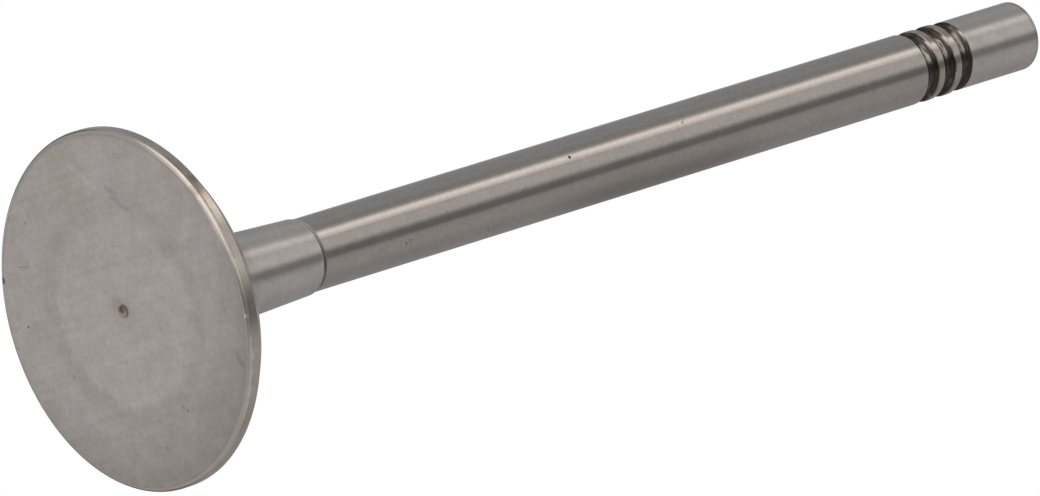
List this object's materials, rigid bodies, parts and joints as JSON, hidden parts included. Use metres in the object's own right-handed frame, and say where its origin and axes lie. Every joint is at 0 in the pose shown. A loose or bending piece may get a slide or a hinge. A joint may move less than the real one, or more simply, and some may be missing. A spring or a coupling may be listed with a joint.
{
  "type": "engine valve",
  "caption": "Poppet valve with a flat face, an angled seat, a tulip neck, a long ground stem and round keeper grooves near the tip.",
  "frame": {"origin": "centre of the flat combustion face, which the valve stands on", "axes": "+Z along the stem, from the face to the tip"},
  "size_m": [0.0434, 0.0434, 0.151],
  "materials": {
    "valve_steel": "ground stem and satin turned face, with dark oxide in the keeper grooves"
  },
  "bodies": {
    "root": {"valve": "valve_steel"}
  },
  "joints": []
}
